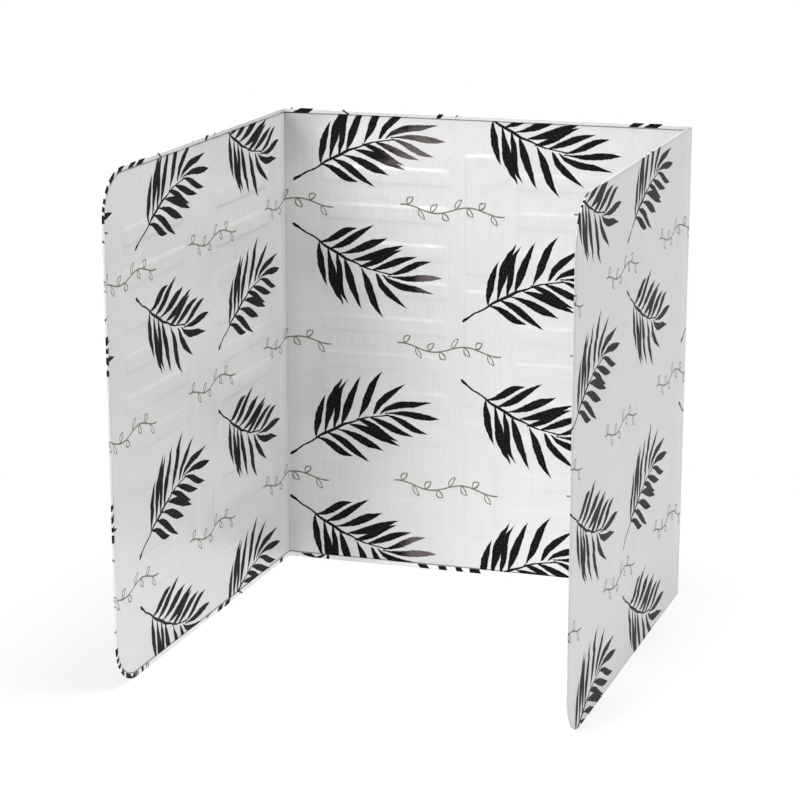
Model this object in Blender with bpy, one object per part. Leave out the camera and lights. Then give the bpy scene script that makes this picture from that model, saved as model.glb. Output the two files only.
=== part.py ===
"""Folding three-panel splash guard that stands round a camp stove.

The guard is pressed from one thin metal sheet. Its back panel stands across
X, and two wings come forward from it towards -Y. The rim of each panel is
turned over once towards the inner face as a narrow hem, and a creased strip
of the same sheet runs round each fold between the back panel and a wing.
Shallow ribs are pressed into every panel towards its inner face: a column of
level ribs on each side of a row of upright ones.
Units are metres and +Z is up. The origin is the middle of the bottom edge
of the back panel.
"""

import math

import bmesh
import bpy
from mathutils import Matrix, Vector

# Panels
panel_height = 0.325
back_width = 0.281
wing_width = 0.2795
corner_radius = 0.028
corner_steps = 12

# Sheet and hem
sheet_thickness = 0.0002
hem_gap = 0.0006
hem_width = 0.003
rim_radius = 0.0003
rim_steps = 3

# Pressed ribs, raised on the inner face and hollow on the outer one
rib_rise = 0.0003
rib_slope = 0.001
rib_corner = 0.003
level_rib_count = 10
level_rib_end_margin = 0.0375
level_rib_side_margin = 0.025
upright_rib_count = 3
upright_rib_width = 0.025
upright_rib_end_margin = 0.026
upright_rib_spacing = 0.009
column_spacing = 0.0105

# Folds
fold_half_width = 0.004
fold_steps = 8
fold_clearance = 0.00005
closing_gap = 0.0005

# How far each wing stands open from the back panel, in degrees
left_open_angle = 93.5
right_open_angle = 87.0

# Depths through a panel, counted from the face of the hem towards the outside
hem_back = sheet_thickness
sheet_front = hem_back + hem_gap
panel_thickness = sheet_front + sheet_thickness

# Distance from the face of the back panel's hem forward to each fold's axis
left_axis_offset = closing_gap / 2
right_axis_offset = (panel_thickness + 2 * closing_gap) / 2

# How far a cutting shape runs past what it cuts
past = 0.001


for old in list(bpy.data.objects):
    bpy.data.objects.remove(old, do_unlink=True)

parts = bpy.data.collections.new("stove_splash_guard")
bpy.context.scene.collection.children.link(parts)
cutters = bpy.data.collections.new("cutters")
bpy.context.scene.collection.children.link(cutters)


def make_material(name, colour, roughness, metallic):
    material = bpy.data.materials.new(name)
    material.use_nodes = True
    shader = material.node_tree.nodes["Principled BSDF"]
    shader.inputs["Base Color"].default_value = (*colour, 1.0)
    shader.inputs["Roughness"].default_value = roughness
    shader.inputs["Metallic"].default_value = metallic
    return material


panel_material = make_material("silver_sheet", (0.70, 0.70, 0.69), 0.38, 0.75)
fold_material = make_material("silver_crease", (0.66, 0.66, 0.65), 0.42, 0.75)


def add_object(name, builder, collection, material=None):
    mesh = bpy.data.meshes.new(name)
    builder.to_mesh(mesh)
    builder.free()
    obj = bpy.data.objects.new(name, mesh)
    collection.objects.link(obj)
    if material is not None:
        mesh.materials.append(material)
    else:
        obj.display_type = 'WIRE'
        obj.hide_render = True
    return obj


def add_slab(name, span, depth, rise, radius, rounded_side, collection,
             material=None, turned=False):
    """Upright slab whose two corners at one end are rounded (-1 or +1).

    turned also rounds the edges that the hem turns over: along the top,
    the bottom and the rounded end, on both faces.
    """
    builder = bmesh.new()
    bmesh.ops.create_cube(builder, size=1.0)
    size = Vector((span[1] - span[0], depth[1] - depth[0], rise[1] - rise[0]))
    centre = Vector((span[0] + span[1], depth[0] + depth[1], rise[0] + rise[1])) / 2
    bmesh.ops.scale(builder, vec=size, verts=builder.verts)

    def runs_through(edge):
        first, second = (vert.co for vert in edge.verts)
        return abs(first.y - second.y) > size.y / 2

    corners = [edge for edge in builder.edges
               if runs_through(edge) and edge.verts[0].co.x * rounded_side > 0]
    if corners:
        bmesh.ops.bevel(builder, geom=corners, offset=radius, segments=corner_steps,
                        profile=0.5, affect='EDGES')
    if turned:
        fold_ends = [side * size.x / 2 for side in (-1, 1) if side != rounded_side]

        def at_fold(edge):
            return any(all(abs(vert.co.x - end) < 1e-6 for vert in edge.verts)
                       for end in fold_ends)

        rim = [edge for edge in builder.edges if not runs_through(edge) and not at_fold(edge)]
        bmesh.ops.bevel(builder, geom=rim, offset=rim_radius, segments=rim_steps,
                        profile=0.5, affect='EDGES')
    bmesh.ops.translate(builder, vec=centre, verts=builder.verts)
    return add_object(name, builder, collection, material)


def combine(obj, tool, operation):
    modifier = obj.modifiers.new(operation.lower() + "_" + tool.name, 'BOOLEAN')
    modifier.operation = operation
    modifier.solver = 'EXACT'
    modifier.object = tool


def cut(obj, tool):
    combine(obj, tool, 'DIFFERENCE')


def rib_plan(low, high):
    """Outline of every rib on a panel, as (left, right, bottom, top)."""
    middle = (low + high) / 2
    half_band = upright_rib_width / 2
    plan = []

    pitch = (panel_height - 2 * level_rib_end_margin) / (level_rib_count - 0.5)
    columns = ((low + level_rib_side_margin, middle - half_band - column_spacing),
               (middle + half_band + column_spacing, high - level_rib_side_margin))
    for left, right in columns:
        for row in range(level_rib_count):
            bottom = level_rib_end_margin + row * pitch
            plan.append((left, right, bottom, bottom + pitch / 2))

    run = panel_height - 2 * upright_rib_end_margin + upright_rib_spacing
    for row in range(upright_rib_count):
        bottom = upright_rib_end_margin + row * run / upright_rib_count
        top = bottom + run / upright_rib_count - upright_rib_spacing
        plan.append((middle - half_band, middle + half_band, bottom, top))
    return plan


def add_ribs(name, plan, foot):
    """Ribs that slope out from their flat crests to depth foot, and on past it."""
    reach = sheet_thickness / 2
    spread = rib_slope * reach / rib_rise
    builder = bmesh.new()
    for left, right, bottom, top in plan:
        outline = bmesh.ops.create_grid(builder, x_segments=1, y_segments=1, size=0.5)["verts"]
        bmesh.ops.rotate(builder, verts=outline, matrix=Matrix.Rotation(math.pi / 2, 3, 'X'))
        bmesh.ops.scale(builder, verts=outline,
                        vec=(right - left + 2 * spread, 1, top - bottom + 2 * spread))
        bmesh.ops.translate(builder, verts=outline,
                            vec=((left + right) / 2, foot + reach, (bottom + top) / 2))
        bmesh.ops.bevel(builder, geom=outline, offset=rib_corner, segments=2,
                        profile=0.5, affect='VERTICES')
    builder.normal_update()
    bmesh.ops.inset_individual(builder, faces=builder.faces, thickness=rib_slope + spread,
                               depth=rib_rise + reach)
    open_rims = [edge for edge in builder.edges if edge.is_boundary]
    bmesh.ops.holes_fill(builder, edges=open_rims)
    bmesh.ops.recalc_face_normals(builder, faces=builder.faces)
    return add_object(name, builder, cutters)


def add_panel(name, low, high, hem_face, rounded_side, holder=None):
    """One panel from low to high along X, with its hem's face at hem_face.

    rounded_side says which end is free and hemmed (-1 or +1). With 0 both
    ends are folds.
    """
    low_free = rounded_side < 0
    high_free = rounded_side > 0
    rib_low = low if low_free else low - fold_half_width
    rib_high = high if high_free else high + fold_half_width
    wrap = sheet_thickness
    top = panel_height

    panel = add_slab(name, (low, high), (hem_face, hem_face + panel_thickness), (0, top),
                     corner_radius, rounded_side, parts, panel_material, turned=True)

    hollow_low = low + wrap if low_free else low - past
    hollow_high = high - wrap if high_free else high + past
    hollow = add_slab(name + "_hollow", (hollow_low, hollow_high),
                      (hem_face + hem_back, hem_face + sheet_front), (wrap, top - wrap),
                      corner_radius - wrap, rounded_side, cutters)
    cut(panel, hollow)

    window_low = low + hem_width if low_free else low - past
    window_high = high - hem_width if high_free else high + past
    window = add_slab(name + "_window", (window_low, window_high),
                      (hem_face - past, hem_face + (hem_back + sheet_front) / 2),
                      (hem_width, top - hem_width),
                      corner_radius - hem_width, rounded_side, cutters)
    cut(panel, window)

    plan = rib_plan(rib_low, rib_high)
    inner_face = hem_face + sheet_front
    ribs = add_ribs(name + "_ribs", plan, inner_face)
    combine(panel, ribs, 'UNION')
    grooves = add_ribs(name + "_grooves", plan, inner_face + sheet_thickness)
    cut(panel, grooves)

    if holder is not None:
        for obj in (panel, hollow, window, ribs, grooves):
            obj.parent = holder
    return panel


def fold_path(level, turn, reach, side):
    """Points of one layer round a fold, as seen from above.

    level is the layer's distance from the fold's axis, turn the signed angle
    that the wing has swung from lying flat, reach the length of each leg.
    """
    points = [Vector((-side * reach, level, 0))]
    for step in range(fold_steps + 1):
        points.append(Matrix.Rotation(turn * step / fold_steps, 3, 'Z') @ Vector((0, level, 0)))
    points.append(Matrix.Rotation(turn, 3, 'Z') @ Vector((side * reach, level, 0)))
    return points


def add_band(name, front, back, rise, turn, reach, side, place, collection, material=None):
    """Layer between two distances from a fold's axis, from rise[0] up to rise[1]."""
    builder = bmesh.new()
    edges = []
    for level in (front, back):
        row = [builder.verts.new(point) for point in fold_path(level, turn, reach, side)]
        edges += [builder.edges.new(pair) for pair in zip(row, row[1:])]
    bmesh.ops.bridge_loops(builder, edges=edges)
    raised = bmesh.ops.extrude_face_region(builder, geom=list(builder.faces))
    upper = [item for item in raised["geom"] if isinstance(item, bmesh.types.BMVert)]
    bmesh.ops.translate(builder, vec=(0, 0, rise[1] - rise[0]), verts=upper)
    bmesh.ops.translate(builder, vec=(0, 0, rise[0]), verts=builder.verts)
    bmesh.ops.recalc_face_normals(builder, faces=builder.faces)
    obj = add_object(name, builder, collection, material)
    obj.location = place
    return obj


def add_fold(name, axis_offset, turn, side, place):
    """Creased strip of the sheet that joins a wing to the back panel."""
    wrap = sheet_thickness
    reach = fold_half_width - fold_clearance
    top = panel_height

    fold = add_band(name, axis_offset, axis_offset + panel_thickness, (0, top),
                    turn, reach, side, place, parts, fold_material)
    hollow = add_band(name + "_hollow", axis_offset + hem_back, axis_offset + sheet_front,
                      (wrap, top - wrap), turn, reach + past, side, place, cutters)
    cut(fold, hollow)
    window = add_band(name + "_window", axis_offset / 5,
                      axis_offset + (hem_back + sheet_front) / 2,
                      (hem_width, top - hem_width), turn, reach + past, side, place, cutters)
    cut(fold, window)


def add_hinge(name, place, turn):
    hinge = bpy.data.objects.new(name, None)
    hinge.location = place
    hinge.rotation_euler = (0, 0, turn)
    hinge.empty_display_size = 0.03
    parts.objects.link(hinge)
    return hinge


back_hem_face = -panel_thickness / 2
fold_line = back_width / 2

add_panel("back_panel", -fold_line + fold_half_width, fold_line - fold_half_width,
          back_hem_face, 0)

left_place = Vector((-fold_line, back_hem_face - left_axis_offset, 0))
left_turn = math.radians(180.0 - left_open_angle)
left_hinge = add_hinge("left_hinge", left_place, left_turn)
add_panel("left_wing", -wing_width, -fold_half_width, left_axis_offset, -1, left_hinge)
add_fold("left_fold", left_axis_offset, left_turn, -1, left_place)

right_place = Vector((fold_line, back_hem_face - right_axis_offset, 0))
right_turn = -math.radians(180.0 - right_open_angle)
right_hinge = add_hinge("right_hinge", right_place, right_turn)
add_panel("right_wing", fold_half_width, wing_width, right_axis_offset, 1, right_hinge)
add_fold("right_fold", right_axis_offset, right_turn, 1, right_place)
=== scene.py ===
import math

import bmesh
import bpy
import numpy as np
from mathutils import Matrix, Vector


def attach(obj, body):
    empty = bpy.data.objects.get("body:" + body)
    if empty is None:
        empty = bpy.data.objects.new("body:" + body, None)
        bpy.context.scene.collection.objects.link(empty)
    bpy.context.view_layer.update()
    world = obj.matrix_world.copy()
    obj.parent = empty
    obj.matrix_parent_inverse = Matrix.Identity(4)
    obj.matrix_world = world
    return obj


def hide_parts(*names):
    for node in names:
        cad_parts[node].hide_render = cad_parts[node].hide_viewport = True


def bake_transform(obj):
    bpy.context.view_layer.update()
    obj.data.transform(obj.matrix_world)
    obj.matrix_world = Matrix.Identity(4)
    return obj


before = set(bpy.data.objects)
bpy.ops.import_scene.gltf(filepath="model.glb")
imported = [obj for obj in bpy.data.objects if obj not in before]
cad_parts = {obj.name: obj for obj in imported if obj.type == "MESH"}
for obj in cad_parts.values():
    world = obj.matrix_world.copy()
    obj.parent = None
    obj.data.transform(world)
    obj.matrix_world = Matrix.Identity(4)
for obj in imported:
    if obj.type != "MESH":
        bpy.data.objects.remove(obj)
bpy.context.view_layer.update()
print("stage: frame loaded")


# Sizes shared by all panels, in metres and degrees
sheet = {
    "height": 0.325, "backWidth": 0.281, "wingWidth": 0.2795, "cornerRadius": 0.028,
    "thickness": 0.0002, "depth": 0.001, "centreDepth": 0.0009,
    "curlRadius": 0.00038, "hemWidth": 0.003, "hemTilt": 11.0,
    "foldReach": 0.004, "leftAxis": 0.00025, "rightAxis": 0.001,
    "leftOpen": 93.5, "rightOpen": 87.0,
}

# Pressed ribs, in metres. Foot and stops are shares of the flank
ribs = {
    "rise": 0.00034, "flank": 0.0027, "corner": 0.004, "foot": 0.1,
    "stops": (-0.35, 0.05, 0.4, 0.75, 1.15),
    "levelCount": 10, "levelEnd": 0.0375, "levelSide": 0.025,
    "uprightCount": 3, "uprightWidth": 0.025, "uprightEnd": 0.026, "uprightGap": 0.009,
    "columnGap": 0.0105,
}

foldLine = sheet["backWidth"] / 2
hemFace = -sheet["depth"] / 2

# Where the outer face reads the print, what its distances from the edge are raised by to tell
# them from the inner face's, and how far the print slides on the top hem
outerShift = 1.4337
outerMark = 0.1
hemDrift = (0.0065, 0.0066)

# How far the print has drifted on each panel, across and up in mm, by place on the panel:
# constant, across, up, across times up, up squared, up cubed. The values were fitted to the
# places of the leaves in the photo
driftWidth = 0.28
printDrift = {
    "back": ((-0.21, -0.77, 2.62, -7.81, 0.14, 0.73),
             (-0.48, -2.77, 7.96, 1.46, -3.41, -6.67)),
    "left": ((2.99, -8.93, -9.39, 6.7, -2.74, 0.75),
             (1.08, -4.62, 2.82, 3.01, -4.05, -5.03)),
    "right": ((-1.32, 2.15, 11.18, 7.03, 4.38, -1.48),
              (3.38, 0.01, 5.41, 2.94, -3.13, -6.71)),
}


# Slow waves that keep every surface from being perfectly even: how many are laid over each
# other, and how the next one differs in direction, pitch and start
waving = {"count": 5, "turn": 1.7, "pitch": 0.62, "longer": 0.21, "start": 2.3, "seedStart": 3.1}


def waves(across, up, seed, reach):
    total = np.zeros_like(across)
    for i in range(waving["count"]):
        turn = waving["turn"] * i + seed
        pitch = reach * (waving["pitch"] + waving["longer"] * i)
        start = waving["start"] * i + seed * waving["seedStart"]
        along = across * math.cos(turn) + up * math.sin(turn)
        total += np.sin(along * 2 * math.pi / pitch + start)
    return total / waving["count"]


# Smooth step from 0 to 1
def ramp(value):
    value = np.clip(value, 0.0, 1.0)
    return value * value * (3 - 2 * value)


def drifted(body, across, up, share):
    s, t = across / driftWidth, up / sheet["height"]
    terms = (1, s, t, s * t, t * t, t * t * t)
    return [0.001 * share * sum(k * term for k, term in zip(row, terms))
            for row in printDrift[body]]


# Outline of every pressed rib on a panel from low to high, as in the CAD
def ribPlan(low, high):
    middle = (low + high) / 2
    half = ribs["uprightWidth"] / 2
    plan = []
    pitch = (sheet["height"] - 2 * ribs["levelEnd"]) / (ribs["levelCount"] - 0.5)
    for left, right in ((low + ribs["levelSide"], middle - half - ribs["columnGap"]),
                        (middle + half + ribs["columnGap"], high - ribs["levelSide"])):
        for row in range(ribs["levelCount"]):
            bottom = ribs["levelEnd"] + row * pitch
            plan.append((left, right, bottom, bottom + pitch / 2))
    run = sheet["height"] - 2 * ribs["uprightEnd"] + ribs["uprightGap"]
    for row in range(ribs["uprightCount"]):
        bottom = ribs["uprightEnd"] + row * run / ribs["uprightCount"]
        top = bottom + run / ribs["uprightCount"] - ribs["uprightGap"]
        plan.append((middle - half, middle + half, bottom, top))
    return plan


# How far the sheet is pressed towards its inner face at each point
def relief(across, up, plan):
    raised = np.zeros_like(across)
    for left, right, bottom, top in plan:
        radius = ribs["corner"]
        x = np.abs(across - (left + right) / 2) - (right - left) / 2 + radius
        z = np.abs(up - (bottom + top) / 2) - (top - bottom) / 2 + radius
        outside = np.hypot(np.maximum(x, 0), np.maximum(z, 0)) + np.minimum(np.maximum(x, z), 0)
        inside = radius - outside
        raised = np.maximum(raised, ramp(inside / ribs["flank"] + ribs["foot"]))
    return raised * ribs["rise"]


# Grid lines across both flanks of a rib
def ribStops(low, high):
    steps = [ribs["flank"] * stop for stop in ribs["stops"]]
    return [low + step for step in steps] + [high - step for step in steps]


# Fills a list of stops so that no two neighbours are further apart than gap. Stops nearer to
# each other than the least gap are one
leastGap = 0.00001


def fillStops(stops, gap):
    stops = sorted(stops)
    kept = [stops[0]]
    for stop in stops[1:]:
        if stop - kept[-1] > leastGap:
            kept.append(stop)
    filled = [kept[0]]
    for stop in kept[1:]:
        count = max(1, math.ceil((stop - filled[-1]) / gap))
        start = filled[-1]
        filled += [start + (stop - start) * (i + 1) / count for i in range(count)]
    return filled


rimInset = sheet["thickness"] / 2 + sheet["curlRadius"]
curlSteps = 9
hemShares = (0.3, 0.65, 0.9, 1.0)


# The curl of the hem: inset from the edge, depth, outward normal and length run
def hemProfile():
    tilt = math.radians(sheet["hemTilt"])
    radius = sheet["curlRadius"]
    curlDepth = sheet["centreDepth"] - radius
    rows = []
    for i in range(1, curlSteps + 1):
        angle = (math.pi + tilt) * i / curlSteps
        rows.append((rimInset - radius * math.sin(angle), curlDepth + radius * math.cos(angle),
                     -math.sin(angle), math.cos(angle), radius * angle))
    inset, depth, normalIn, normalDeep, run = rows[-1]
    length = (sheet["hemWidth"] - inset) / math.cos(tilt)
    for share in hemShares:
        rows.append((inset + share * length * math.cos(tilt),
                     depth + share * length * math.sin(tilt), normalIn, normalDeep,
                     run + share * length))
    return np.array(rows)


hem = hemProfile()
hemCount = len(hem)

# A hem's rows stand this far apart on the grid, past the rim, until they are wrapped round it
virtualStep = 0.0001

# Grid lines beside an edge and beside a crease, and the widest gaps of the grid
edgeInsets = (rimInset, 0.0013, 0.0026, 0.0031, 0.0036, 0.005, 0.008, 0.012, 0.018)
creaseInsets = (0.0, 0.0015, 0.005)
upGap, acrossGap = 0.0052, 0.0046


def hemStops(edge, side):
    return [edge + side * (-rimInset + virtualStep * (k + 1)) for k in range(hemCount)]


def upStops():
    stops = []
    for left, right, bottom, top in ribPlan(0, sheet["backWidth"]):
        stops += ribStops(bottom, top)
    for inset in edgeInsets:
        stops += [inset, sheet["height"] - inset]
    flat = fillStops(stops, upGap)
    return sorted(hemStops(0, -1)) + flat + hemStops(sheet["height"], 1)


def acrossStops(low, high, freeEnd):
    stops = []
    for left, right, bottom, top in ribPlan(*reliefSpan(low, high, freeEnd)):
        stops += ribStops(left, right)
    stops += [low + inset for inset in creaseInsets]
    if freeEnd:
        stops += [high - inset for inset in edgeInsets]
        return fillStops(stops, acrossGap) + hemStops(high, 1)
    stops += [high - inset for inset in creaseInsets]
    return fillStops(stops, acrossGap)


# The span that a panel's ribs are laid out on
def reliefSpan(low, high, freeEnd):
    if freeEnd:
        return low, high
    return low - sheet["foldReach"], high + sheet["foldReach"]


# What keeps hem and rim from being perfectly straight: the hem's wavy cut edge, the line that it
# presses into the sheet, and how far the free edge wanders
handmade = {
    "hemWave": 0.00035, "hemSeed": 0.7, "hemReach": 0.045, "hemTurn": 0.02,
    "imprint": 0.00004, "imprintAt": 0.0031, "imprintWidth": 0.0004,
    "wander": 0.00012, "wanderSeed": 2.1, "wanderReach": 0.11, "wanderFrom": 0.018,
    "wanderEase": 0.008,
}


# Turns grid stops into places on the hemmed sheet: across, depth, up and the flat coordinates
def layOut(acrossGrid, upGrid, freeEnd):
    height, radius = sheet["height"], sheet["cornerRadius"]
    width = sheet["wingWidth"]
    reachFlat = radius - rimInset
    pastEnd = acrossGrid - (width - radius) if freeEnd else np.full_like(acrossGrid, -1.0)
    pastTop = upGrid - (height - radius)
    pastFoot = radius - upGrid
    pastUp = np.maximum(pastTop, pastFoot)
    upSign = np.where(pastTop > pastFoot, 1.0, -1.0)

    corner = (pastEnd > 0) & (pastUp > 0)
    endOnly = (pastEnd > 0) & ~corner
    upOnly = (pastUp > 0) & ~corner
    reach = np.where(corner, np.maximum(pastEnd, pastUp),
                     np.where(endOnly, pastEnd, np.where(upOnly, pastUp, 0.0)))
    smaller = np.minimum(pastEnd, pastUp)
    share = np.where(corner, np.clip(smaller, 0, None) / np.maximum(reach, 1e-9), 0.0)
    angle = share * math.pi / 4
    towardsEnd = np.where(corner, np.where(pastEnd >= pastUp, np.cos(angle), np.sin(angle)),
                          np.where(endOnly, 1.0, 0.0))
    towardsUp = np.where(corner, np.where(pastEnd >= pastUp, np.sin(angle), np.cos(angle)),
                         np.where(upOnly, 1.0, 0.0)) * upSign

    baseAcross = np.where(corner | endOnly, width - radius, acrossGrid)
    baseUp = np.where(corner | upOnly, np.where(upSign > 0, height - radius, radius), upGrid)

    wrap = np.rint((reach - reachFlat) / virtualStep).astype(int)
    isHem = wrap > 0
    profile = hem[np.clip(wrap - 1, 0, hemCount - 1)]
    uneven = waves(baseAcross + towardsEnd * handmade["hemTurn"],
                   baseUp + towardsUp * handmade["hemTurn"],
                   handmade["hemSeed"], handmade["hemReach"])
    curlRun, hemRun = hem[curlSteps - 1][4], hem[-1][4]
    flange = np.clip((profile[..., 4] - curlRun) / (hemRun - curlRun), 0, 1)
    inset = profile[..., 0] + flange * handmade["hemWave"] * uneven
    fromImprint = (radius - reach - handmade["imprintAt"]) / handmade["imprintWidth"]
    imprint = handmade["imprint"] * np.exp(-fromImprint ** 2)
    depth = np.where(isHem, profile[..., 1], sheet["centreDepth"] - imprint)
    distance = np.where(isHem, radius - inset, reach)
    flatDistance = np.where(isHem, reachFlat + profile[..., 4], reach)
    normalAlong = np.where(isHem, -profile[..., 2], 0.0)
    normalDeep = np.where(isHem, profile[..., 3], 1.0)

    wander = waves(baseAcross, baseUp, handmade["wanderSeed"], handmade["wanderReach"])
    nudge = handmade["wander"] * (0.5 + 0.5 * wander)
    nudge = nudge * ramp((distance - handmade["wanderFrom"]) / handmade["wanderEase"]) * towardsEnd
    distance = distance - nudge

    place = {
        "across": baseAcross + towardsEnd * distance,
        "up": baseUp + towardsUp * distance,
        "depth": depth,
        "flatAcross": baseAcross + towardsEnd * flatDistance,
        "flatUp": baseUp + towardsUp * flatDistance,
        "normalAcross": towardsEnd * normalAlong,
        "normalUp": towardsUp * normalAlong,
        "normalDeep": normalDeep,
        "isHem": isHem,
        "inset": np.where(isHem, -inset, radius - distance),
    }
    return place


# Builds one closed sheet from two skins of points, outer first, with its places on the flat
# sheet in one layer and its distances from hem and crease in another
def buildSheet(name, skins):
    builder = bmesh.new()
    flatLayer = builder.loops.layers.uv.new("sheet")
    edgeLayer = builder.loops.layers.uv.new("edges")
    flat = {}
    for points, spots in skins:
        rows, columns = points.shape[:2]
        made = bmesh.ops.create_grid(builder, x_segments=columns - 1, y_segments=rows - 1,
                                     size=0.5)["verts"]
        made.sort(key=lambda v: (round((v.co.y + 0.5) * (rows - 1)),
                                 round((v.co.x + 0.5) * (columns - 1))))
        for vert, point, spot in zip(made, points.reshape(-1, 3), spots.reshape(-1, 4)):
            vert.co = point
            flat[vert] = spot
    rim = [edge for edge in builder.edges if edge.is_boundary]
    for edge in rim:
        edge.smooth = False
    bmesh.ops.bridge_loops(builder, edges=rim)
    for face in builder.faces:
        face.smooth = True
        for loop in face.loops:
            loop[flatLayer].uv = flat[loop.vert][:2]
            loop[edgeLayer].uv = flat[loop.vert][2:]
    bmesh.ops.recalc_face_normals(builder, faces=builder.faces)
    torn = sum(1 for edge in builder.edges if not edge.is_manifold)
    mesh = bpy.data.meshes.new(name)
    builder.to_mesh(mesh)
    builder.free()
    piece = bpy.data.objects.new(name, mesh)
    bpy.context.scene.collection.objects.link(piece)
    print("piece:", name, "faces", len(mesh.polygons), "open edges", torn)
    return piece


# Where a wing's own coordinates stand: its hinge, its turn and its side
hinges = {
    "left": {"side": -1, "axis": sheet["leftAxis"],
             "turn": math.radians(180 - sheet["leftOpen"]),
             "at": np.array([-foldLine, hemFace - sheet["leftAxis"]])},
    "right": {"side": 1, "axis": sheet["rightAxis"],
              "turn": -math.radians(180 - sheet["rightOpen"]),
              "at": np.array([foldLine, hemFace - sheet["rightAxis"]])},
}


def turned(x, y, angle, at):
    return (at[0] + x * np.cos(angle) - y * np.sin(angle),
            at[1] + x * np.sin(angle) + y * np.cos(angle))


# Unevenness of the flat sheet: pairs of height and reach, and how it eases out at the edges
slackness = {
    "margin": 0.004, "ease": 0.022, "broad": (0.00014, 0.17), "small": (0.00010, 0.045),
    "seedGap": 4.0,
}


# Adds ribs and slow unevenness to the flat of a panel, easing out at its hems and folds
def pressPanel(place, plan, low, high, seed, firmness):
    across, up = place["across"], place["up"]
    ease = 1.0
    for inside in (up, sheet["height"] - up, across - low, high - across):
        ease = ease * ramp((inside - slackness["margin"]) / slackness["ease"])
    pressed = relief(across, up, plan) * firmness
    slack = 0.0
    for height, reach in (slackness["broad"], slackness["small"]):
        slack = slack + (0.5 + 0.5 * waves(across, up, seed, reach)) * height
        seed = seed + slackness["seedGap"]
    place["depth"] = place["depth"] - np.where(place["isHem"], 0, pressed + slack * ease)


# The two faces of a sheet, outer first, as world points and as places on the print
def panelSkins(place, toWorld, flatAcross, fromCrease):
    skins = []
    onTop = place["flatUp"] > sheet["height"] / 2
    topHem = place["isHem"] * onTop * place.get("square", 1.0)
    footHem = place["isHem"] * ~onTop * place.get("footShift", 0.0)
    half = sheet["thickness"] / 2
    for sign in (1, -1):
        points = toWorld(place["across"] + sign * half * place["normalAcross"],
                         place["depth"] + sign * half * place["normalDeep"])
        up = place["up"] + sign * half * place["normalUp"]
        if sign > 0:
            inset = place["inset"] + np.where(place["isHem"], 0, outerMark)
            printAcross = outerShift - flatAcross + hemDrift[0] * topHem
            printUp = place.get("outerUp", place["flatUp"]) + hemDrift[1] * topHem + footHem
        else:
            inset, printAcross, printUp = place["inset"], flatAcross, place["flatUp"]
        spots = (printAcross, printUp, inset, fromCrease)
        skins.append((np.stack([*points, up], axis=-1), np.stack(spots, axis=-1)))
    return skins


# Back panel. Its ribs are pressed more faintly towards the upper right, from a place across and
# up over a width and a height
backPanel = {
    "low": sheet["foldReach"], "high": sheet["backWidth"] - sheet["foldReach"], "seed": 1.3,
    "firmness": 0.92, "fainter": 0.42, "faintFrom": (0.10, 0.14), "faintOver": (0.10, 0.12),
    "driftEase": 0.02,
}
acrossGrid, upGrid = np.meshgrid(acrossStops(backPanel["low"], backPanel["high"], False),
                                 upStops())
place = layOut(acrossGrid, upGrid, False)
faint = backPanel["fainter"]
for grid, origin, width in zip((acrossGrid, upGrid), backPanel["faintFrom"],
                               backPanel["faintOver"]):
    faint = faint * ramp((grid - origin) / width)
pressPanel(place, ribPlan(0, sheet["backWidth"]), backPanel["low"], backPanel["high"],
           backPanel["seed"], backPanel["firmness"] * (1 - faint))
fromCrease = np.minimum(acrossGrid, sheet["backWidth"] - acrossGrid)
slid, raised = drifted("back", acrossGrid, place["flatUp"],
                       ramp(fromCrease / backPanel["driftEase"]))
place["outerUp"] = place["flatUp"]
place["flatUp"] = place["flatUp"] - raised
backSheet = buildSheet("back_sheet", panelSkins(
    place, lambda x, d: (x - foldLine, hemFace + d), place["flatAcross"] - slid, fromCrease))
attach(backSheet, "back")
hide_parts("back_panel")
print("stage: back panel built")


# Wings. The print's slide on the top hem ends at the free corner, its drift begins at the crease,
# and on the left wing the outer print sinks towards the free end and the foot's hem is blank
wings = {
    "left": {"seed": 2.9, "node": "left_wing", "firmness": 1.1, "outerSink": 0.001,
             "footShift": 0.041},
    "right": {"seed": 5.2, "node": "right_wing", "firmness": 1.2, "outerSink": 0.0,
              "footShift": 0.0},
}
wingPrint = {"cornerInset": 0.016, "cornerEase": 0.03, "driftEase": 0.03, "sinkOver": 0.2}
wingSheets = {}
for body, wing in wings.items():
    hinge = hinges[body]
    low, high = sheet["foldReach"], sheet["wingWidth"]
    acrossGrid, upGrid = np.meshgrid(acrossStops(low, high, True), upStops())
    place = layOut(acrossGrid, upGrid, True)
    pressPanel(place, ribPlan(low, high), low, high, wing["seed"], wing["firmness"])

    def toWorld(x, d):
        return turned(hinge["side"] * x, hinge["axis"] + d, hinge["turn"], hinge["at"])

    start = 0.0 if body == "left" else sheet["backWidth"]
    fromCorner = high - wingPrint["cornerInset"] - acrossGrid
    place["square"] = ramp(fromCorner / wingPrint["cornerEase"])
    slid, raised = drifted(body, acrossGrid, place["flatUp"],
                           ramp((acrossGrid - low) / wingPrint["driftEase"]))
    outerUp = place["flatUp"] if body == "left" else place["flatUp"] - raised
    sunk = ramp((acrossGrid - low) / wingPrint["sinkOver"])
    place["outerUp"] = outerUp - wing["outerSink"] * sunk
    place["footShift"] = wing["footShift"] * place["square"]
    place["flatUp"] = place["flatUp"] - raised
    wingSheets[body] = buildSheet(body + "_sheet", panelSkins(
        place, toWorld, start + hinge["side"] * (place["flatAcross"] - slid), acrossGrid))
    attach(wingSheets[body], body)
    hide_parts(wing["node"])
print("stage: wings built")


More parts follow.
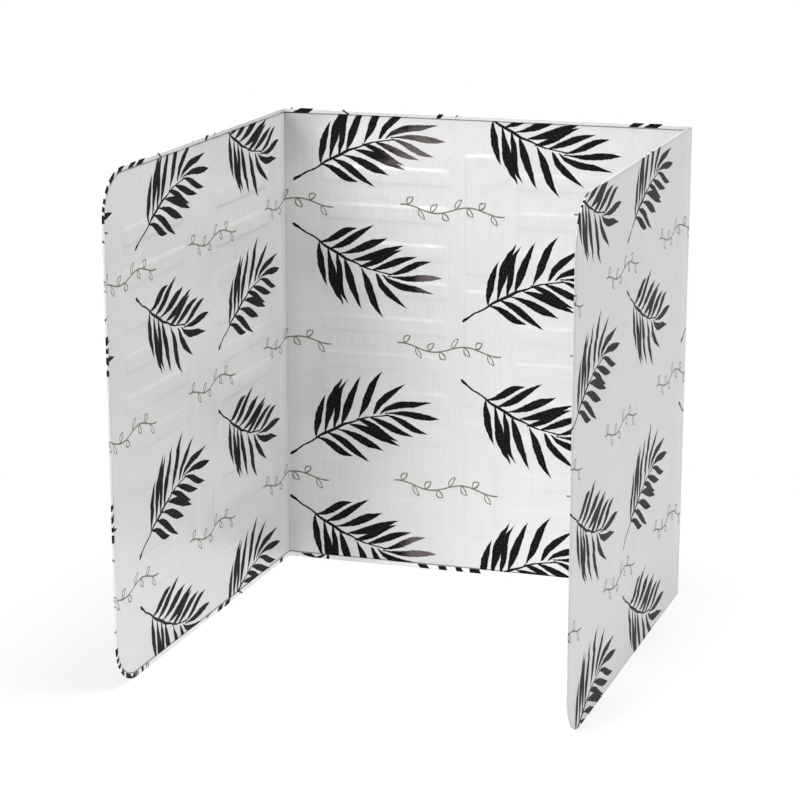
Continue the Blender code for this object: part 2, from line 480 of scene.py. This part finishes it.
# Creased strips that bend between the back panel and a wing: steps round the bend, stops along
# the flat leg on each side of it, and the place across at which their hem's waves are read
crease = {"arcSteps": 12, "legStops": (1.0, 0.72, 0.45, 0.22, 0.08, 0.0), "wavesAt": 0.14}
creaseStrips = {}
for body, node in (("left", "left_fold"), ("right", "right_fold")):
    hinge = hinges[body]
    side, reachOut = hinge["side"], sheet["foldReach"]
    legs = [(-side * reachOut * share, 0.0) for share in crease["legStops"][:-1]]
    arc = [(0.0, hinge["turn"] * i / crease["arcSteps"]) for i in range(crease["arcSteps"] + 1)]
    legsPast = [(side * reachOut * share, hinge["turn"]) for share in crease["legStops"][-2::-1]]
    path = np.array(legs + arc + legsPast)
    arcRun = abs(hinge["turn"]) * (hinge["axis"] + sheet["centreDepth"]) / crease["arcSteps"]
    run = [0.0]
    for (x0, a0), (x1, a1) in zip(path, path[1:]):
        run.append(run[-1] + (abs(x1 - x0) if a0 == a1 else arcRun))
    run = np.array(run) / run[-1]
    start = 0.0 if body == "left" else sheet["backWidth"]
    flatRun = start + side * (-reachOut + 2 * reachOut * run)

    index, upGrid = np.meshgrid(np.arange(len(path)), upStops())
    flatGrid = flatRun[index]
    place = layOut(np.full_like(flatGrid, crease["wavesAt"]), upGrid, False)
    place["across"] = path[index, 0]
    angle = path[index, 1]
    fromCrease = np.abs(flatGrid - start)
    strip = buildSheet(body + "_crease", panelSkins(
        place, lambda x, d: turned(x, hinge["axis"] + d, angle, hinge["at"]), flatGrid,
        fromCrease))
    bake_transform(strip)
    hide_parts(node)
    creaseStrips[body] = strip
print("stage: creases built")


# Colours of the printed metal, and where its ink is rubbed: across, up and reach in mm, and how
# far streaks and nearness fade the ink from a start
metal = {
    "colour": (0.68, 0.68, 0.676), "metallic": 0.32, "roughness": 0.34, "shine": 0.045,
    "ink": (0.0032, 0.0030, 0.0030), "fadedInk": (0.130, 0.106, 0.106), "inkRoughness": 0.48,
    "sprig": (0.072, 0.073, 0.030),
    "rubbed": ((103, 292, 50), (108, 208, 22), (100, 16, 26)),
    "rubScales": (0.10, 0.28), "rubbing": (1.6, 2.3, -1.4),
}

# How the fronds are set out, in mm: columns and rows, their lean, how odd columns move, the two
# wider blank strips as place and width, how the ink fills and dries out, and how the edges waver:
# scale of the noise, and its share across and up
frond = {
    "column": 125.0, "row": 198.4, "firstColumn": -1.0, "firstRow": 259.5, "slant": 0.017,
    "oddShift": 5.3, "nearer": 2.0, "innerGap": (-251.0, 15.0), "outerGap": (1124.0, 12.0),
    "fullness": 1.2, "fill": 0.12, "neck": 0.38, "sharpness": 4.5,
    "dry": 0.16, "dryScales": (0.9, 1.3), "dryFrom": 0.60, "dryRate": 7.0,
    "coarse": (0.13, 1.6, -1.3), "finer": (0.45, 0.7, 0.9),
}

# The stem of a frond, in mm: its curve from where it starts, its half width, taper and swelling
stalk = {
    "from": 3.0, "curve": (17.6, 0.687, -0.00107, -0.00003), "lean": 0.85,
    "stub": 2.6, "stubLength": 0.15, "stubWidth": 0.55, "stubFall": -0.15, "stubRate": 0.7,
    "end": 76.0, "half": 0.62, "taperFrom": 42.0, "taper": -0.007,
    "swellAt": 34.0, "swellReach": 15, "swell": 0.38,
}

# Each leaflet, in mm: base, tip, half width, bow and sway, and how far out it is widest. Stem and
# leaflets were placed on one spray in the photo, and then fitted to it
leaflets = (
    (21.2, 30.2, 28.4, 62.0, 2.35, 1.6, -0.1, 0.92),
    (28.2, 33.9, 41.0, 75.0, 2.9, 2.6, -0.5, 1.10),
    (34.6, 37.6, 44.8, 74.1, 2.3, 2.5, -1.2, 0.90),
    (40.8, 41.2, 54.3, 77.7, 2.6, 1.0, 0.0, 0.80),
    (53.7, 47.4, 70.2, 82.5, 2.7, 1.3, -0.6, 0.92),
    (63.8, 50.6, 88.0, 74.3, 2.3, 2.4, 0.3, 0.78),
    (68.8, 51.2, 107.5, 62.6, 2.3, 2.5, 1.0, 0.92),
    (72.9, 51.7, 113.0, 50.9, 2.35, 1.0, 0.5, 1.40),
    (73.6, 50.9, 105.0, 39.4, 2.1, -0.5, 0.7, 1.12),
    (60.9, 48.3, 94.5, 36.6, 2.3, -0.6, 0.4, 1.01),
    (51.6, 46.4, 83.4, 32.3, 2.1, 0.3, 0.7, 0.92),
    (46.3, 42.0, 84.8, 28.8, 2.6, 1.0, 0.4, 0.96),
    (37.1, 37.7, 72.2, 24.7, 2.75, 0.7, 0.5, 1.27),
    (30.1, 34.4, 62.6, 15.4, 2.4, 0.9, 0.7, 0.87),
    (21.8, 30.2, 50.0, 18.6, 2.5, -0.1, 1.0, 1.22),
)

# The sprig, in mm: a waved line, thicker in places than its least, with small open leaves
sprig = {
    "shift": -6.0, "half": 38.0, "wave": 2.6, "turns": 1.6,
    "line": 0.38, "lineWaver": 0.5, "lineScale": 0.25,
    "pitch": 8.8, "leaf": 7.8, "leafHalf": 1.6, "leafBow": 0.7, "angle": 56.0, "foot": -2.3,
    "leafLine": 0.9, "bareEnd": 1.2,
}


# Adds shader nodes to a tree and joins them
class Wiring:
    def __init__(self, tree):
        self.tree = tree

    def add(self, kind, **values):
        node = self.tree.nodes.new(kind)
        for key, value in values.items():
            setattr(node, key, value)
        return node

    def set(self, node, name, value):
        socket = node.inputs[name]
        if isinstance(value, bpy.types.NodeSocket):
            self.tree.links.new(value, socket)
        else:
            socket.default_value = value

    def calc(self, operation, *values, clamp=False):
        node = self.add("ShaderNodeMath", operation=operation, use_clamp=clamp)
        for i, value in enumerate(values):
            self.set(node, i, value)
        return node.outputs[0]

    def pack(self, x, y):
        node = self.add("ShaderNodeCombineXYZ")
        self.set(node, "X", x)
        self.set(node, "Y", y)
        return node.outputs[0]

    def split(self, vector):
        node = self.add("ShaderNodeSeparateXYZ")
        self.set(node, "Vector", vector)
        return node.outputs["X"], node.outputs["Y"]

    # Coordinates measured from a point, along a direction, in units of size
    def local(self, vector, at, degrees, size):
        node = self.add("ShaderNodeMapping", vector_type="TEXTURE")
        self.set(node, "Vector", vector)
        self.set(node, "Location", (at[0], at[1], 0))
        self.set(node, "Rotation", (0, 0, math.radians(degrees)))
        self.set(node, "Scale", (size, size, size))
        return self.split(node.outputs[0])

    def noise(self, vector, scale, detail=2.0, roughness=0.5):
        node = self.add("ShaderNodeTexNoise")
        self.set(node, "Vector", vector)
        self.set(node, "Scale", scale)
        self.set(node, "Detail", detail)
        self.set(node, "Roughness", roughness)
        return node.outputs["Fac"]

    # Noise with a scale of its own in each direction
    def drawn(self, x, y, scales, detail=2.0, roughness=0.5):
        x, y = (self.calc("MULTIPLY", value, scale) for value, scale in zip((x, y), scales))
        return self.noise(self.pack(x, y), 1.0, detail, roughness)

    def mix(self, share, first, second):
        node = self.add("ShaderNodeMix", data_type="RGBA")
        self.set(node, "Factor", share)
        for socket, value in ((node.inputs[6], first), (node.inputs[7], second)):
            if isinstance(value, bpy.types.NodeSocket):
                self.tree.links.new(value, socket)
            else:
                socket.default_value = (*value, 1.0)
        return node.outputs[2]


# One leaflet: how far inside its outline a point lies
def leafletGroup():
    tree = bpy.data.node_groups.new("leaflet outline", "ShaderNodeTree")
    for name in ("Along", "Off", "Half", "Bow", "Sway", "Widest", "Neck"):
        tree.interface.new_socket(name, in_out="INPUT", socket_type="NodeSocketFloat")
    tree.interface.new_socket("Inside", in_out="OUTPUT", socket_type="NodeSocketFloat")
    w = Wiring(tree)
    along, off, half, bow, sway, widest, neck = tuple(w.add("NodeGroupInput").outputs)[:7]
    share = w.calc("ADD", along, 0.0, clamp=True)
    arch = w.calc("MULTIPLY", w.calc("MULTIPLY", share, w.calc("SUBTRACT", 1.0, share)), 4.0)
    bent = w.calc("POWER", share, widest)
    body = w.calc("MULTIPLY", w.calc("MULTIPLY", bent, w.calc("SUBTRACT", 1.0, bent)), 4.0)
    body = w.calc("POWER", w.calc("MAXIMUM", body, 0.0), frond["fullness"])
    width = w.calc("MULTIPLY", body, half)
    width = w.calc("MULTIPLY_ADD", w.calc("SUBTRACT", 1.0, share), neck, width)
    turn = w.calc("MULTIPLY", w.calc("SINE", w.calc("MULTIPLY", share, 2 * math.pi)), sway)
    centre = w.calc("ADD", w.calc("MULTIPLY", arch, bow), turn)
    inside = w.calc("SUBTRACT", width, w.calc("ABSOLUTE", w.calc("SUBTRACT", off, centre)))
    past = w.calc("ABSOLUTE", w.calc("SUBTRACT", along, share))
    inside = w.calc("SUBTRACT", inside, past)
    w.set(w.add("NodeGroupOutput"), "Inside", inside)
    return tree


def fraction(w, value):
    return w.calc("SUBTRACT", value, w.calc("FLOOR", value))


def isOdd(w, value):
    return w.calc("MULTIPLY", fraction(w, w.calc("MULTIPLY", value, 0.5)), 2.0)


def addLeaflet(w, leaflet, spot, base, degrees, length, half, bow, sway, widest, neck):
    along, off = w.local(spot, base, degrees, length)
    node = w.add("ShaderNodeGroup", node_tree=leaflet)
    for name, value in (("Along", along), ("Off", off), ("Half", half / length),
                        ("Bow", bow / length), ("Sway", sway / length), ("Widest", widest),
                        ("Neck", neck / length)):
        w.set(node, name, value)
    return w.calc("MULTIPLY", node.outputs[0], length)


# The whole print, worked out from the flat coordinates of the sheet
def printGroup():
    leaflet = leafletGroup()
    tree = bpy.data.node_groups.new("leaf print", "ShaderNodeTree")
    tree.interface.new_socket("Flat", in_out="INPUT", socket_type="NodeSocketVector")
    for name in ("Ink", "Sprig", "Fade"):
        tree.interface.new_socket(name, in_out="OUTPUT", socket_type="NodeSocketFloat")
    w = Wiring(tree)
    flat = w.add("NodeGroupInput").outputs[0]
    across, up = w.split(flat)
    slanted = w.calc("MULTIPLY_ADD", w.calc("SUBTRACT", up, frond["firstRow"] / 2),
                     -frond["slant"], across)

    # A wider blank strip between two columns, once on each face
    edge, gap = frond["innerGap"]
    placed = w.calc("ADD", w.calc("MAXIMUM", slanted, edge), w.calc(
        "MINIMUM", w.calc("SUBTRACT", slanted, edge - gap), 0.0))
    edge, gap = frond["outerGap"]
    placed = w.calc("ADD", w.calc("MINIMUM", placed, edge), w.calc(
        "MAXIMUM", w.calc("SUBTRACT", placed, edge + gap), 0.0))

    # Place within a column, and how far from the row that its fronds mirror about
    column = w.calc("DIVIDE", w.calc("SUBTRACT", placed, frond["firstColumn"]), frond["column"])
    a = w.calc("MULTIPLY", fraction(w, column), frond["column"])
    odd = isOdd(w, w.calc("FLOOR", column))
    rows = w.calc("DIVIDE", w.calc("SUBTRACT", up, frond["firstRow"]), frond["row"])
    rows = w.calc("MULTIPLY_ADD", odd, 0.5, rows)
    c = w.calc("MULTIPLY_ADD", w.calc("ABSOLUTE", w.calc("SUBTRACT", rows, w.calc("ROUND", rows))),
               frond["row"], frond["nearer"])
    c = w.calc("MULTIPLY_ADD", odd, -frond["oddShift"], c)

    # The hand-cut look: edges that waver a little
    scale, *broadShares = frond["coarse"]
    broad = w.calc("SUBTRACT", w.noise(w.pack(a, c), scale, 2.0), 0.5)
    scale, *fineShares = frond["finer"]
    fine = w.calc("SUBTRACT", w.noise(w.pack(c, a), scale, 2.0, 0.6), 0.5)
    a, c = (w.calc("ADD", value, w.calc("MULTIPLY_ADD", broad, broadShare,
                                        w.calc("MULTIPLY", fine, fineShare)))
            for value, broadShare, fineShare in zip((a, c), broadShares, fineShares))
    spot = w.pack(a, c)

    # Stem with a rounded stub, thickest a third of the way along
    start, rise, bend, twist = stalk["curve"]
    run = w.calc("SUBTRACT", a, stalk["from"])
    height = w.calc("MULTIPLY_ADD", run, twist, bend)
    height = w.calc("MULTIPLY_ADD", w.calc("MULTIPLY_ADD", run, height, rise), run, start)
    swell = w.calc("MULTIPLY", w.calc("SUBTRACT", a, stalk["swellAt"]), 1 / stalk["swellReach"])
    swell = w.calc("MAXIMUM", w.calc("SUBTRACT", 1.0, w.calc("MULTIPLY", swell, swell)), 0.0)
    stub = w.calc("MAXIMUM", w.calc("MULTIPLY_ADD", run, stalk["stubFall"], 1.0), 0.0)
    width = w.calc("MAXIMUM", w.calc("SUBTRACT", a, stalk["taperFrom"]), 0.0)
    width = w.calc("MULTIPLY_ADD", width, stalk["taper"], stalk["half"])
    wider = w.calc("MULTIPLY", stub, stalk["stubWidth"])
    width = w.calc("ADD", width, w.calc("MULTIPLY_ADD", swell, stalk["swell"], wider))
    fromStub = w.calc("SUBTRACT", a, stalk["stub"])
    rounded = w.calc("MULTIPLY", fromStub, stalk["stubRate"], clamp=True)
    width = w.calc("MULTIPLY", width, w.calc("SQRT", rounded))
    inside = w.calc("SUBTRACT", width, w.calc("MULTIPLY", w.calc("ABSOLUTE", w.calc(
        "SUBTRACT", c, height)), stalk["lean"]))
    inside = w.calc("MINIMUM", inside, w.calc("SUBTRACT", a, stalk["stub"] + stalk["stubLength"]))
    inside = w.calc("MINIMUM", inside, w.calc("SUBTRACT", stalk["end"], a))

    for baseA, baseC, tipA, tipC, half, bow, sway, widest in leaflets:
        length = math.hypot(tipA - baseA, tipC - baseC)
        degrees = math.degrees(math.atan2(tipC - baseC, tipA - baseA))
        inside = w.calc("MAXIMUM", inside, addLeaflet(
            w, leaflet, spot, (baseA, baseC), degrees, length, half, bow, sway, widest,
            frond["neck"]))
    ink = w.calc("MULTIPLY", w.calc("ADD", inside, frond["fill"]), frond["sharpness"], clamp=True)
    dry = w.drawn(a, c, frond["dryScales"], 2.0, 0.6)
    dry = w.calc("MULTIPLY", w.calc("SUBTRACT", dry, frond["dryFrom"]), frond["dryRate"],
                 clamp=True)
    ink = w.calc("MULTIPLY", ink, w.calc("MULTIPLY_ADD", dry, -frond["dry"], 1.0))

    # Thin sprig between the fronds: a waved line with small open leaves
    x = w.calc("SUBTRACT", slanted, frond["firstColumn"] + sprig["shift"])
    x = w.calc("DIVIDE", x, frond["column"])
    x = w.calc("MULTIPLY", w.calc("SUBTRACT", x, w.calc("ROUND", x)), frond["column"])
    y = w.calc("DIVIDE", w.calc("SUBTRACT", up, frond["firstRow"]), frond["row"] / 2)
    y = w.calc("MULTIPLY", w.calc("SUBTRACT", y, w.calc("ROUND", y)), frond["row"] / 2)
    curve = w.calc("SINE", w.calc("MULTIPLY", x, sprig["turns"] * math.pi / sprig["half"]))
    lift = w.calc("MULTIPLY_ADD", curve, -sprig["wave"], y)
    thick = w.calc("MULTIPLY_ADD", w.noise(w.pack(x, y), sprig["lineScale"], 1.0),
                   sprig["lineWaver"], sprig["line"])
    outer = w.calc("SUBTRACT", sprig["half"], w.calc("ABSOLUTE", x))
    stem = w.calc("MINIMUM", w.calc("SUBTRACT", thick, w.calc("ABSOLUTE", lift)), outer)
    step = w.calc("DIVIDE", x, sprig["pitch"])
    along = w.calc("MULTIPLY", w.calc("SUBTRACT", fraction(w, step), 0.5), sprig["pitch"])
    flip = w.calc("MULTIPLY_ADD", isOdd(w, w.calc("FLOOR", step)), -2.0, 1.0)
    spot, foot = w.pack(along, w.calc("MULTIPLY", lift, flip)), (sprig["foot"], 0.0)
    inside = addLeaflet(w, leaflet, spot, foot, sprig["angle"], sprig["leaf"], sprig["leafHalf"],
                        sprig["leafBow"], 0.0, 1.0, 0.0)
    ring = w.calc("SUBTRACT", w.calc("MULTIPLY", thick, sprig["leafLine"]),
                  w.calc("ABSOLUTE", inside))
    past = w.local(spot, foot, sprig["angle"], sprig["leaf"])[0]
    within = w.calc("MULTIPLY", w.calc("SUBTRACT", 0.5, w.calc("ABSOLUTE", w.calc(
        "SUBTRACT", past, 0.5))), sprig["leaf"])
    ring = w.calc("MINIMUM", ring, within)
    ring = w.calc("MINIMUM", ring, w.calc("SUBTRACT", outer, sprig["bareEnd"]))
    line = w.calc("MULTIPLY", w.calc("MAXIMUM", stem, ring), frond["sharpness"], clamp=True)

    # Where the ink is rubbed and faded
    rubbed = 0.0
    for x, z, reach in metal["rubbed"]:
        away = w.add("ShaderNodeVectorMath", operation="DISTANCE")
        w.set(away, 0, flat)
        w.set(away, 1, (x, z, 0))
        rubbed = w.calc("MAXIMUM", rubbed, w.calc(
            "MULTIPLY_ADD", away.outputs["Value"], -1 / reach, 1.0))
    streaky = w.drawn(a, c, metal["rubScales"], 3.0, 0.6)
    streakShare, rubbedShare, unrubbed = metal["rubbing"]
    fade = w.calc("MULTIPLY_ADD", streaky, streakShare,
                  w.calc("MULTIPLY_ADD", rubbed, rubbedShare, unrubbed), clamp=True)

    out = w.add("NodeGroupOutput")
    w.set(out, "Ink", ink)
    w.set(out, "Sprig", line)
    w.set(out, "Fade", fade)
    return tree


leafPrint = printGroup()


# A smooth bump that is 1 at centre and 0 beyond reach from it
def near(w, value, centre, reach):
    away = w.calc("MULTIPLY", w.calc("ABSOLUTE", w.calc("SUBTRACT", value, centre)), 1 / reach)
    share = w.calc("SUBTRACT", 1.0, away, clamp=True)
    square = w.calc("MULTIPLY", share, share)
    return w.calc("MULTIPLY", square, w.calc("MULTIPLY_ADD", share, -2.0, 3.0))


def millimetres(w, layer):
    scaled = w.add("ShaderNodeVectorMath", operation="SCALE")
    w.set(scaled, 0, w.add("ShaderNodeUVMap", uv_map=layer).outputs[0])
    w.set(scaled, "Scale", 1000.0)
    return scaled.outputs[0]


# Wear of the metal, and painted light and shade, in mm. Shades have a share, most of them a place
# and a reach:
# painted shade beside the hem's cut edge, the darker cut edge, partly painted shade, a painted
# shade line inside the rim on the outer face, painted shade along the crease with a painted
# highlight band beside it, painted shade by the left crease, and the hem's tone, which is painted
# shade on the right wing
wearAndPaintedLight = {
    "streak": 0.12, "streakScales": (0.9, 0.010), "fine": 0.12, "fineScales": (3.2, 0.04),
    "cloud": 0.05, "cloudScale": 0.018, "grain": 0.075, "grainScale": 0.62,
    "seamShade": 0.68, "seamAt": 3.35, "seamReach": 0.85,
    "outerRimShade": 0.10, "outerAt": 1.1, "outerReach": 1.7,
    "cutEdge": 0.22, "cutReach": 0.35, "hem": 0.16, "paintedHemShade": -0.22, "hemRate": -4.0,
    "creaseShade": 0.16, "creaseReach": 1.1, "creaseHighlight": 0.045, "bandAt": 10.0, "bandReach": 9.0,
    "besideCrease": 0.12, "besideReach": 22.0, "backFrom": -0.4,
    "topCrease": 0.21, "topAt": (5.0, 325.0), "topReach": (42.0, 60.0),
    "inkCover": 0.997, "sprigCover": 0.86, "creaseWorn": 0.35,
    "glossShare": 0.16, "bump": 0.2, "bumpDepth": 0.0001, "rolled": 0.5,
    "crinkle": 30.0, "crinkleScales": (0.085, 0.0595),
}


def sheetMaterial(name, hemTone, worn=0.0, bareHem=0.0):
    material = bpy.data.materials.new(name)
    material.use_nodes = True
    tree = material.node_tree
    shader = tree.nodes["Principled BSDF"]
    w = Wiring(tree)
    flat = millimetres(w, "sheet")
    across, up = w.split(flat)
    inset, fromCrease = w.split(millimetres(w, "edges"))

    # Fine upright streaks of the rolled metal, a slow cloudiness and a grain
    streak = w.drawn(across, up, wearAndPaintedLight["streakScales"], 3.0)
    fine = w.drawn(across, up, wearAndPaintedLight["fineScales"], 2.0)
    cloud = w.noise(flat, wearAndPaintedLight["cloudScale"], 2.0)
    grain = w.noise(flat, wearAndPaintedLight["grainScale"], 2.0, 0.6)
    tone = 1.0
    for value, share in ((streak, wearAndPaintedLight["streak"]), (fine, wearAndPaintedLight["fine"]), (cloud, wearAndPaintedLight["cloud"]),
                         (grain, wearAndPaintedLight["grain"])):
        tone = w.calc("MULTIPLY_ADD", w.calc("SUBTRACT", value, 0.5), share, tone)

    # Painted shade: lines in the gap beside the hem's cut edge, along the crease, and just inside
    # the rim on the outer face. The hem's cut edge is darker too, partly for its bare metal and
    # partly as painted shade
    seamShade = near(w, inset, wearAndPaintedLight["seamAt"], wearAndPaintedLight["seamReach"])
    cut = near(w, inset, -sheet["hemWidth"] * 1000, wearAndPaintedLight["cutReach"])
    outerRimShade = near(w, inset, outerMark * 1000 + wearAndPaintedLight["outerAt"], wearAndPaintedLight["outerReach"])
    line = near(w, fromCrease, 0.0, wearAndPaintedLight["creaseReach"])
    dark = 0.0
    for value, share in ((cut, wearAndPaintedLight["cutEdge"]), (seamShade, wearAndPaintedLight["seamShade"]), (line, wearAndPaintedLight["creaseShade"]),
                         (outerRimShade, wearAndPaintedLight["outerRimShade"])):
        dark = w.calc("MULTIPLY_ADD", value, share, dark)

    # Shade that gathers on the back panel beside its left crease, most of all at the top
    beside = w.calc("MULTIPLY", near(w, across, 0.0, wearAndPaintedLight["besideReach"]), wearAndPaintedLight["besideCrease"])
    (topAcross, topUp), (reachAcross, reachUp) = wearAndPaintedLight["topAt"], wearAndPaintedLight["topReach"]
    topShade = w.calc("MULTIPLY", near(w, across, topAcross, reachAcross),
                      near(w, up, topUp, reachUp))
    beside = w.calc("MULTIPLY_ADD", topShade, wearAndPaintedLight["topCrease"], beside)
    onBack = w.calc("GREATER_THAN", across, wearAndPaintedLight["backFrom"])
    dark = w.calc("MULTIPLY_ADD", beside, onBack, dark)

    # Painted highlight in a band beside each crease. The hem is brighter too, except in the right
    # wing's material, where its tone is painted shade
    hemShare = w.calc("MULTIPLY", inset, wearAndPaintedLight["hemRate"], clamp=True)
    highlightBand = near(w, fromCrease, wearAndPaintedLight["bandAt"], wearAndPaintedLight["bandReach"])
    light = w.calc("MULTIPLY_ADD", highlightBand, wearAndPaintedLight["creaseHighlight"], w.calc("MULTIPLY", hemShare, hemTone))
    unshaded = w.calc("SUBTRACT", 1.0, dark, clamp=True)
    grey = w.add("ShaderNodeVectorMath", operation="SCALE")
    w.set(grey, 0, metal["colour"])
    w.set(grey, "Scale", w.calc("MULTIPLY", w.calc("ADD", tone, light), unshaded))

    # The print, worn off along a crease and left off some hems
    printed = w.add("ShaderNodeGroup", node_tree=leafPrint)
    w.set(printed, "Flat", flat)
    kept = w.calc("MULTIPLY_ADD", line, -worn, wearAndPaintedLight["inkCover"])
    kept = w.calc("MULTIPLY", kept, w.calc("MULTIPLY_ADD", hemShare, -bareHem, 1.0))
    ink = w.calc("MULTIPLY", printed.outputs["Ink"], kept)
    thin = w.calc("MULTIPLY", printed.outputs["Sprig"], wearAndPaintedLight["sprigCover"])
    inkTone = w.mix(printed.outputs["Fade"], metal["ink"], metal["fadedInk"])
    surface = w.mix(thin, grey.outputs[0], metal["sprig"])
    w.set(shader, "Base Color", w.mix(ink, surface, inkTone))

    # Sheen: bare metal is smoother than ink, and its streaks differ a little
    covered = w.calc("MAXIMUM", ink, thin)
    w.set(shader, "Metallic",
          w.calc("MULTIPLY_ADD", covered, -metal["metallic"], metal["metallic"]))
    rough = w.calc("MULTIPLY_ADD", streak, wearAndPaintedLight["glossShare"],
                   metal["roughness"] - wearAndPaintedLight["glossShare"] / 2)
    w.set(shader, "Roughness",
          w.calc("MULTIPLY_ADD", ink, metal["inkRoughness"] - metal["roughness"], rough))
    shader.inputs["Specular IOR Level"].default_value = metal["shine"]

    # Rolled streaks and soft crinkles in the surface
    bump = w.add("ShaderNodeBump")
    w.set(bump, "Strength", wearAndPaintedLight["bump"])
    w.set(bump, "Distance", wearAndPaintedLight["bumpDepth"])
    crinkle = w.drawn(across, up, wearAndPaintedLight["crinkleScales"], 3.0, 0.55)
    rolled = w.calc("MULTIPLY_ADD", fine, wearAndPaintedLight["rolled"], streak)
    w.set(bump, "Height", w.calc("MULTIPLY_ADD", crinkle, wearAndPaintedLight["crinkle"], rolled))
    w.set(shader, "Normal", bump.outputs[0])
    return material


printedMetal = sheetMaterial("printed metal sheet", wearAndPaintedLight["hem"])
# The right wing's copy darkens its hem with painted shade, which dulls the highlight on its rim
paintedHemShadeMetal = sheetMaterial("printed metal sheet, painted hem shade", wearAndPaintedLight["paintedHemShade"])
creasedMetal = sheetMaterial("creased metal sheet", wearAndPaintedLight["hem"], wearAndPaintedLight["creaseWorn"], 1.0)
for piece in (backSheet, wingSheets["left"]):
    piece.data.materials.append(printedMetal)
wingSheets["right"].data.materials.append(paintedHemShadeMetal)
for piece in creaseStrips.values():
    piece.data.materials.append(creasedMetal)
print("stage: materials made")


# Ground that is white to the camera and in reflections, and keeps the soft shadow near the
# object: how white it is at the middle, between which distances it clears, and how dim the room is
stage = {
    "size": 14.0, "drop": 0.00005, "colour": (0.96, 0.96, 0.96), "spread": 0.995, "scale": 0.4,
    "white": 0.72, "middle": (0.0, -0.14, 0.0), "clear": (0.16, 0.50), "dim": 0.24,
}


def seenDirectly(w):
    path = w.add("ShaderNodeLightPath")
    seen = w.calc("MAXIMUM", path.outputs["Is Camera Ray"], path.outputs["Is Glossy Ray"])
    return w.calc("MAXIMUM", seen, path.outputs["Is Transmission Ray"])


def groundMaterial():
    material = bpy.data.materials.new("pale ground")
    material.use_nodes = True
    tree = material.node_tree
    w = Wiring(tree)
    shader = tree.nodes["Principled BSDF"]
    spot = w.add("ShaderNodeTexCoord").outputs["Object"]
    darker = tuple(stage["spread"] * c for c in stage["colour"])
    w.set(shader, "Base Color", w.mix(w.noise(spot, stage["scale"], 2.0), stage["colour"], darker))
    w.set(shader, "Roughness", 0.9)
    shader.inputs["Specular IOR Level"].default_value = 0.0
    glow = w.add("ShaderNodeEmission")
    blend = w.add("ShaderNodeMixShader")
    away = w.add("ShaderNodeVectorMath", operation="DISTANCE")
    w.set(away, 0, spot)
    w.set(away, 1, stage["middle"])
    start, end = stage["clear"]
    clear = w.calc("MULTIPLY", w.calc("SUBTRACT", away.outputs["Value"], start), 1 / (end - start),
                   clamp=True)
    white = w.calc("MULTIPLY_ADD", clear, 1 - stage["white"], stage["white"])
    w.set(blend, 0, w.calc("MULTIPLY", seenDirectly(w), white))
    tree.links.new(shader.outputs[0], blend.inputs[1])
    tree.links.new(glow.outputs[0], blend.inputs[2])
    tree.links.new(blend.outputs[0], tree.nodes["Material Output"].inputs[0])
    return material


builder = bmesh.new()
bmesh.ops.create_grid(builder, x_segments=8, y_segments=8, size=stage["size"])
bmesh.ops.translate(builder, verts=builder.verts, vec=(0, 0, -stage["drop"]))
mesh = bpy.data.meshes.new("ground")
builder.to_mesh(mesh)
builder.free()
ground = bpy.data.objects.new("ground", mesh)
bpy.context.scene.collection.objects.link(ground)
ground.data.materials.append(groundMaterial())

world = bpy.data.worlds.new("plain room")
bpy.context.scene.world = world
world.use_nodes = True
w = Wiring(world.node_tree)
back = world.node_tree.nodes["Background"]
seen = seenDirectly(w)
back.inputs["Color"].default_value = (1, 1, 1, 1)
w.set(back, "Strength", w.calc("MULTIPLY_ADD", seen, 1 - stage["dim"], stage["dim"]))


def addLamp(name, at, aim, size, watts):
    data = bpy.data.lights.new(name, "AREA")
    data.shape = "RECTANGLE"
    data.size, data.size_y = size
    data.energy = watts
    lamp = bpy.data.objects.new(name, data)
    lamp.location = at
    lamp.rotation_euler = (Vector(aim) - Vector(at)).to_track_quat("-Z", "Y").to_euler()
    lamp.visible_camera = False
    bpy.context.scene.collection.objects.link(lamp)


lampPlan = (
    ("key soft lamp", (-1.05, -2.4, 1.4), (0, -0.1, 0.15), (0.8, 1.2), 46.5),
    ("side soft lamp", (1.7, 0.1, 2.0), (0, -0.1, 0.15), (1.6, 1.6), 21.0),
    ("high soft lamp", (0.08, -0.1, 1.05), (-0.14, -0.15, 0.15), (0.3, 0.3), 8.2),
)
for lamp in lampPlan:
    addLamp(*lamp)
print("stage: ground and lamps placed")


# Camera at the photograph's viewing angle
shot = {
    "at": (0.4232, -1.6189, 0.5802), "yaw": -16.561, "pitch": -15.161,
    "lens": 112.4, "sensor": 36.0, "clip": (0.05, 60.0),
}
cameraData = bpy.data.cameras.new("camera")
cameraData.sensor_width = shot["sensor"]
cameraData.lens = shot["lens"]
cameraData.clip_start, cameraData.clip_end = shot["clip"]
camera = bpy.data.objects.new("camera", cameraData)
camera.location = shot["at"]
camera.rotation_euler = (math.radians(90 + shot["pitch"]), 0, math.radians(-shot["yaw"]))
bpy.context.scene.collection.objects.link(camera)
bpy.context.scene.camera = camera
bpy.context.scene.view_settings.view_transform = "Standard"

print("stage: finished")
